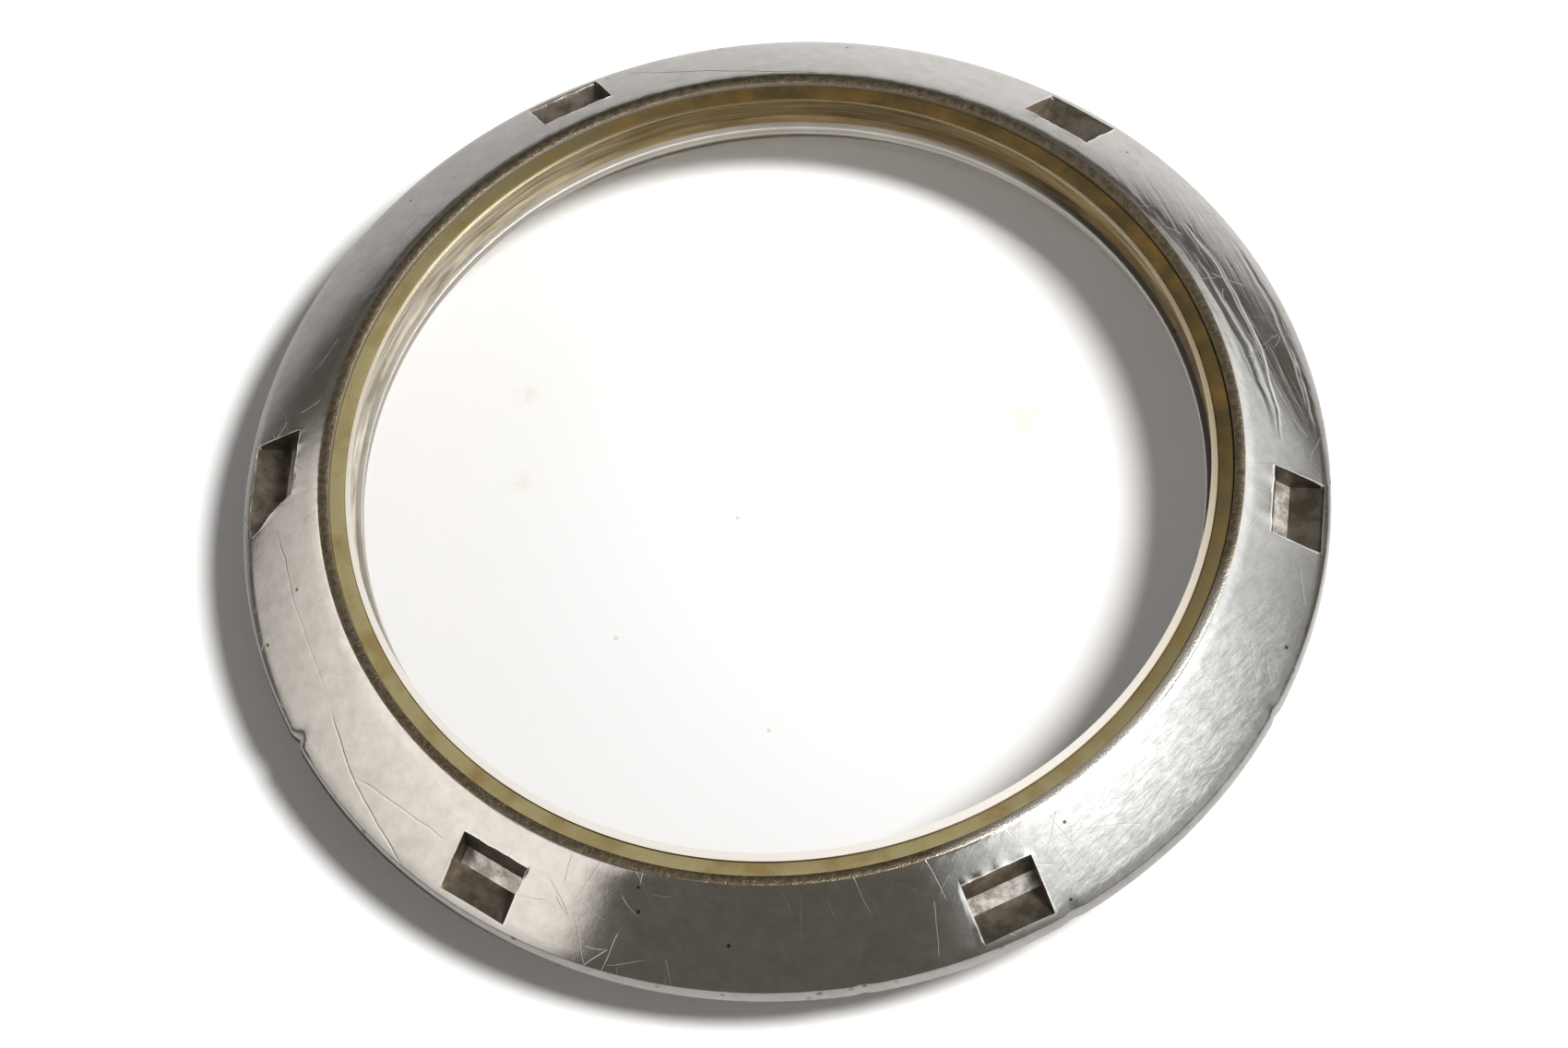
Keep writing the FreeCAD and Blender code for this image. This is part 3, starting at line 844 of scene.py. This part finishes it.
def makeRing(materials):
    bm = bmesh.new()
    sector = 360 / ring["notches"]
    turnSection(bm, ringSection(), -sector / 2, sector, ring["columns"], False)
    bmesh.ops.recalc_face_normals(bm, faces=bm.faces[:])
    roundRing(bm)
    markFaces(bm)
    cutNotch(bm)
    whole = bm.verts[:] + bm.edges[:] + bm.faces[:]
    bmesh.ops.spin(bm, geom=whole, cent=(0, 0, 0), axis=zAxis, angle=math.radians(360 - sector),
                   steps=ring["notches"] - 1, use_duplicate=True)
    bmesh.ops.remove_doubles(bm, verts=bm.verts[:], dist=0.0005 * mm)
    cutThread(bm)
    breakLip(bm)
    wearEdges(bm)
    markLips(bm)
    loose = [edge for edge in bm.edges if not edge.is_manifold]
    print("open edges in the ring:", len(loose))
    return finishPiece("steelRing", bm, materials, "case_back_ring")


makeRing((
    polishedSteel(),
    dulledSteel("milled stainless steel", "#857c70", "#5f574b", 0.4, 0.2, 0.2, 0.8),
    # the notches' sloping feet: milled steel painted near-white, a painted highlight
    dulledSteel("milled steel with painted highlight", "#f1ede6", "#a59c90", 0.25, 0.12, 0.3, 0.4),
    # the land, with a painted highlight on one side
    dulledSteel("dull worn steel", "#8a7e6b", "#6d6250", 0.38, 0.05, 0.6, paintedHighlight=(-38, 13.2, 15.2)),
    turnedSteel(),
    # the rounded lips: burnished steel painted near-white, a painted highlight
    dulledSteel("burnished steel lip with painted highlight", "#fbfaf6", "#a8a196", 0.3, 0.12, 0.4, 0.3),
))


crystal = {
    "radius": crystalBox[1][0] / mm,
    "low": crystalBox[0][2] / mm,
    "high": crystalBox[1][2] / mm,
    "chamfer": 0.2,
    "segments": 360,
}


def passLight(tree, shader, colour):
    # light for what lies behind goes straight through, both from lamps and between matt surfaces
    through = addNode(tree, "ShaderNodeBsdfTransparent", inputs={0: colour})
    rays = addNode(tree, "ShaderNodeLightPath")
    passing = addNode(tree, "ShaderNodeMath", {"operation": "MAXIMUM"},
                      {0: rays.outputs["Is Shadow Ray"], 1: rays.outputs["Is Diffuse Ray"]})
    both = addNode(tree, "ShaderNodeMixShader", inputs={
        0: passing.outputs[0], 1: shader.outputs[0], 2: through.outputs[0]})
    addNode(tree, "ShaderNodeOutputMaterial", inputs={0: both.outputs[0]})


smudges = (
    # x, y, radius and strength of the faint beige films on the glass, in mm
    (7.6, 2.0, 2.6, 1.0),
    (7.0, -1.5, 3.2, 0.6),
    (9.0, -1.0, 1.6, 0.5),
    (-8.6, 2.4, 0.7, 0.9),
    (-8.3, -0.9, 0.7, 0.9),
    (5.2, 7.0, 1.2, 0.5),
    (1.0, 5.0, 3.0, 0.25),
)


# painted shade on the gasket and on the glass's edge, darker towards one side: azimuth, start and full
gasketShade = (54, -5.0, 10.0)
edgeShade = (72, -9.0, 7.0)


def crystalGlass():
    # polished mineral glass: quite clear, with faint beige finger films and a few specks of dust
    material, tree = newMaterial("mineral glass")
    place = inMillimetres(tree)
    films = []
    for x, y, radius, strength in smudges:
        away = addNode(tree, "ShaderNodeVectorMath", {"operation": "DISTANCE"},
                       {0: place, 1: (x, y, crystal["high"])})
        films.append(addNode(tree, "ShaderNodeMapRange", smooth, {
            0: away.outputs["Value"], 1: 0.0, 2: radius, 3: strength, 4: 0.0}).outputs[0])
    streaks = addNode(tree, "ShaderNodeTexNoise", inputs={
        "Vector": place, "Scale": 1.1, "Detail": 6.0, "Roughness": 0.7})
    broken = addNode(tree, "ShaderNodeMapRange", inputs={0: streaks.outputs[0], 1: 0.42, 2: 0.66})
    film = dimmed(tree, deepest(tree, films), broken.outputs[0])
    filmed = addNode(tree, "ShaderNodeMix", colourMix, {0: film, 6: "#ffffff", 7: "#e6d5ae"})
    dots = addNode(tree, "ShaderNodeTexVoronoi", inputs={"Vector": place, "Scale": 0.28})
    dusty = addNode(tree, "ShaderNodeMapRange", inputs={
        0: dots.outputs["Distance"], 1: 0.012, 2: 0.03, 3: 0.6, 4: 0.0})
    dusted = addNode(tree, "ShaderNodeMix", colourMix, {
        0: dusty.outputs[0], 6: filmed.outputs[2], 7: "#a08c72"})
    glass = addNode(tree, "ShaderNodeBsdfPrincipled", inputs={
        "Base Color": dusted.outputs[2], "Roughness": 0.0, "IOR": 1.52, "Transmission Weight": 1.0})
    passLight(tree, glass, "#ffffff")
    return material


def groundGlass():
    # the chamfers are ground, not polished: frosted, so they read as a pale line, painted beige
    # and darker towards one side as painted shade
    material, tree = newMaterial("ground glass")
    # painted shade: beige and darker towards one side
    tone = addNode(tree, "ShaderNodeMix", colourMix, {
        0: rampTowards(tree, inMillimetres(tree), *edgeShade),
        6: "#e9e1d3", 7: "#b49a6e"})
    glass = addNode(tree, "ShaderNodeBsdfPrincipled", inputs={
        "Base Color": tone.outputs[2], "Roughness": 0.35, "IOR": 1.52, "Transmission Weight": 1.0})
    passLight(tree, glass, "#ffffff")
    return material


def stainedGlass():
    # the ground outer wall touches the gasket and takes its brown, streaked along the ring; it is painted
    # paler to the left and right as painted light, for the light that comes through the gasket
    material, tree = newMaterial("ground glass stained by the gasket, with painted light")
    place = inMillimetres(tree)
    level = addNode(tree, "ShaderNodeVectorMath", multiply, {0: place, 1: (0.5, 0.5, 5.0)})
    bands = addNode(tree, "ShaderNodeTexNoise", inputs={
        "Vector": level.outputs[0], "Scale": 1.0, "Detail": 4.0})
    sides = addNode(tree, "ShaderNodeSeparateXYZ", inputs={0: place})
    across = addNode(tree, "ShaderNodeMapRange", inputs={
        0: sides.outputs[0], 1: -crystal["radius"], 2: crystal["radius"]})
    # painted light: the wall is paler to the left and right
    pale = addNode(tree, "ShaderNodeValToRGB", inputs={0: across.outputs[0]})
    setRamp(pale, ((0.0, "#efe9dc"), (0.14, "#d8ccb0"), (0.3, "#94805a"),
                   (0.6, "#94805a"), (0.85, "#e2c48f"), (1.0, "#f6dcae")))
    stained = addNode(tree, "ShaderNodeMapRange", inputs={
        0: bands.outputs[0], 1: 0.35, 2: 0.65, 3: 0.7, 4: 0.0})
    tone = addNode(tree, "ShaderNodeMix", colourMix, {
        0: stained.outputs[0], 6: pale.outputs[0], 7: "#5e4e34"})
    glass = addNode(tree, "ShaderNodeBsdfPrincipled", inputs={
        "Base Color": tone.outputs[2], "Roughness": 0.6, "Specular IOR Level": 0.0})
    passLight(tree, glass, "#c9b58c")
    return material


def makeCrystal(materials):
    bm = bmesh.new()
    height = crystal["high"] - crystal["low"]
    bmesh.ops.create_cone(bm, cap_ends=True, cap_tris=False, segments=crystal["segments"],
                          radius1=crystal["radius"] * mm, radius2=crystal["radius"] * mm, depth=height * mm)
    bmesh.ops.translate(bm, verts=bm.verts[:], vec=(0, 0, (crystal["low"] + height / 2) * mm))
    rims = [edge for edge in bm.edges if abs(edge.verts[0].co.z - edge.verts[1].co.z) < 0.01 * mm]
    roundEdges(bm, rims, crystal["chamfer"], 1)
    for face in bm.faces:
        # flat faces polished, the upper chamfer ground, the wall and the lower chamfer stained, with painted
        # light
        face.material_index = 0 if abs(face.normal.z) > 0.9 else 1 if face.normal.z > 0.1 else 2
    return finishPiece("crystalDisc", bm, materials, "crystal")


makeCrystal((crystalGlass(), groundGlass(), stainedGlass()))


gasket = {
    "outer": gasketBox[1][0] / mm,
    "wall": 0.54,
    "low": gasketBox[0][2] / mm,
    "high": gasketBox[1][2] / mm,
    "segments": 540,
}


def agedNylon():
    # moulded nylon gone yellow: a waxy, slightly see-through olive tan, with painted shade that darkens it
    # towards one side, where little light comes into it through the glass, and brown stains along its outer
    # edge
    material, tree = newMaterial("aged nylon")
    place = inMillimetres(tree)
    # painted shade: the tan turns dark olive towards one side
    shadedTan = addNode(tree, "ShaderNodeMix", colourMix, {
        0: rampTowards(tree, place, *gasketShade), 6: "#a0966d", 7: "#4a3e21"})
    stains = addNode(tree, "ShaderNodeTexNoise", inputs={
        "Vector": place, "Scale": 0.8, "Detail": 5.0, "Roughness": 0.6})
    spread = addNode(tree, "ShaderNodeMapRange", inputs={
        0: stains.outputs[0], 1: 0.43, 2: 0.68, 3: 0.0, 4: 0.6})
    tone = addNode(tree, "ShaderNodeMix", colourMix, {
        0: spread.outputs[0], 6: shadedTan.outputs[2], 7: "#80622e"})
    bump = addNode(tree, "ShaderNodeBump", inputs={
        "Strength": 0.4, "Distance": 0.03 * mm, "Height": stains.outputs[0]})
    nylon = addNode(tree, "ShaderNodeBsdfPrincipled", inputs={
        "Base Color": tone.outputs[2], "Roughness": 0.42, "Specular IOR Level": 0.35,
        "Subsurface Weight": 0.4, "Subsurface Radius": (1.0, 0.7, 0.3), "Subsurface Scale": 0.3 * mm,
        "Normal": bump.outputs[0]})
    addNode(tree, "ShaderNodeOutputMaterial", inputs={0: nylon.outputs[0]})
    return material


def makeGasket(materials):
    bm = bmesh.new()
    inner = gasket["outer"] - gasket["wall"]
    turnSection(bm, [(inner, gasket["low"]), (gasket["outer"], gasket["low"]),
                     (gasket["outer"], gasket["high"]), (inner, gasket["high"])],
                0, 360, gasket["segments"], True)
    for radius in (inner, gasket["outer"]):
        roundEdges(bm, circleEdges(bm, radius, gasket["high"]), 0.07, 3)
    return finishPiece("nylonGasket", bm, materials, "crystal_gasket", 40)


makeGasket((agedNylon(),))


def blackRubber():
    # nitrile rubber from a smooth mould: near black, with a low soft sheen along its curve
    material, tree = newMaterial("black nitrile rubber")
    rubber = addNode(tree, "ShaderNodeBsdfPrincipled", inputs={"Base Color": "#1d1c1b", "Roughness": 0.5})
    addNode(tree, "ShaderNodeOutputMaterial", inputs={0: rubber.outputs[0]})
    return material


seal = {
    "outer": sealBox[1][0] / mm,
    "low": sealBox[0][2] / mm,
    "high": sealBox[1][2] / mm,
    "segments": 240,     # round the ring
    "sides": 20,         # round its section
}


def makeSeal(materials):
    bm = bmesh.new()
    thick = (seal["high"] - seal["low"]) / 2
    bmesh.ops.create_circle(bm, segments=seal["sides"], radius=thick * mm)
    upright = Matrix.Rotation(math.radians(90), 3, "X")
    bmesh.ops.rotate(bm, verts=bm.verts[:], cent=(0, 0, 0), matrix=upright)
    middle = Vector((seal["outer"] - thick, 0, seal["low"] + thick))
    bmesh.ops.translate(bm, verts=bm.verts[:], vec=middle * mm)
    bmesh.ops.spin(bm, geom=bm.verts[:] + bm.edges[:], cent=(0, 0, 0), axis=zAxis,
                   angle=math.radians(360), steps=seal["segments"], use_merge=True)
    return finishPiece("rubberSeal", bm, materials, "case_seal_ring", 60)


makeSeal((blackRubber(),))
